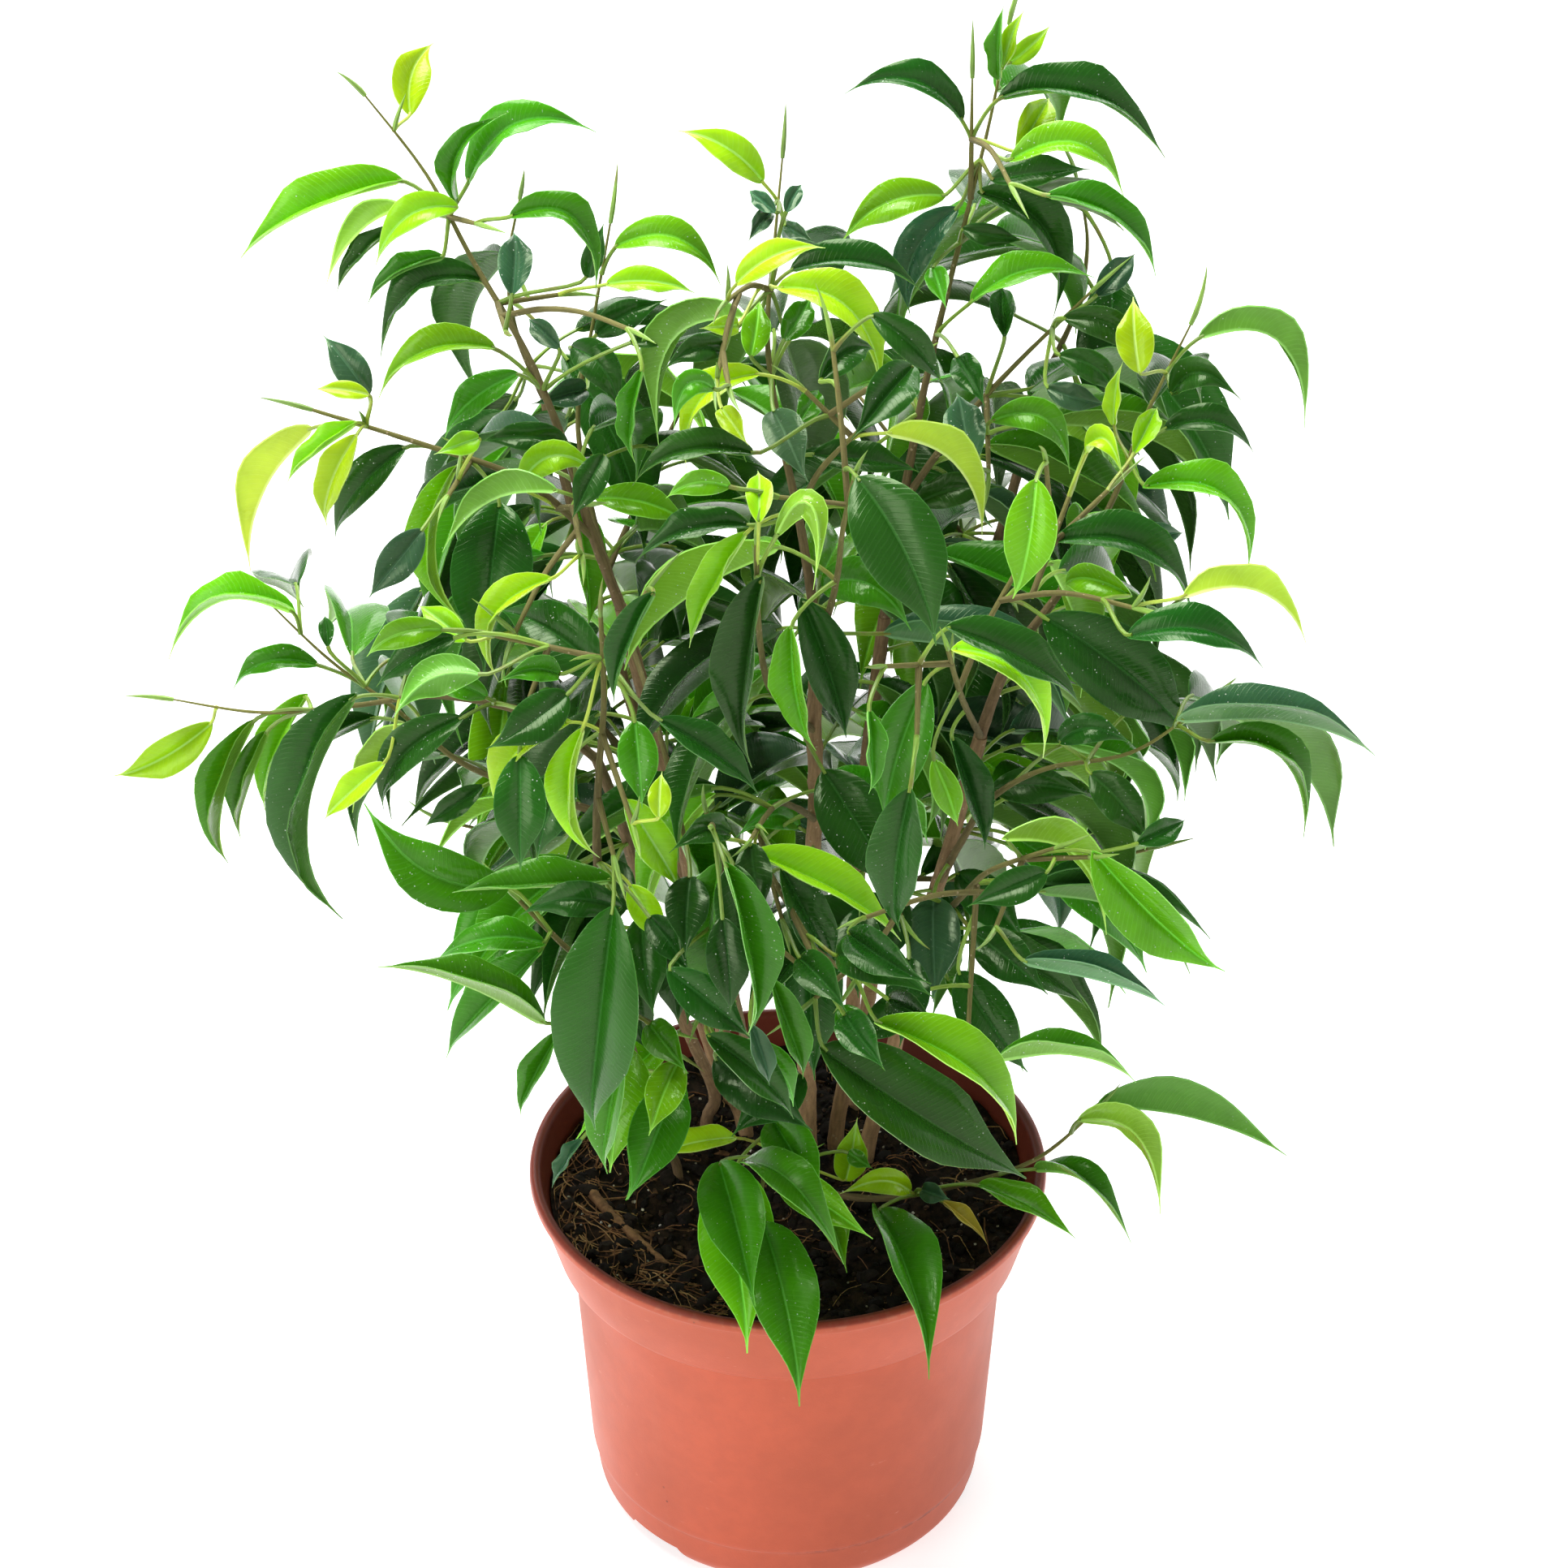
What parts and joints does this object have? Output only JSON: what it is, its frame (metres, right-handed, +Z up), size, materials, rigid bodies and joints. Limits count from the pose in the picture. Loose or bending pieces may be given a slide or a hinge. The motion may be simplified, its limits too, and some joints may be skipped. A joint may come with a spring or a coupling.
{
  "type": "weeping fig in a nursery pot",
  "caption": "Potted weeping fig: arching leafy stems with drooping pointed leaves, standing in soil in a round plastic pot with a deep collar.",
  "frame": {"origin": "centre of the pot's base, on the surface that the pot stands on", "axes": "+Z up along the pot's axis, -Y towards the front of the plant, +X to the right as seen from the front"},
  "size_m": [0.2596, 0.2063, 0.3561],
  "materials": {
    "pot_plastic": "satin",
    "soil_peat": "matte",
    "leaf_green": "satin",
    "leaf_young": "satin",
    "stem_bark": "matte"
  },
  "bodies": {
    "root": {"pot": "pot_plastic", "soil": "soil_peat", "leafy_stem_left": "leaf_green", "leafy_stem_top_left": "leaf_green", "leafy_stem_centre": "leaf_green", "leafy_stem_top_right": "leaf_green", "leafy_stem_right": "leaf_green", "leafy_stem_front_left": "leaf_green", "leafy_stem_front": "leaf_green", "leafy_stem_back_left": "leaf_green", "leafy_stem_back_right": "leaf_green"}
  },
  "joints": []
}
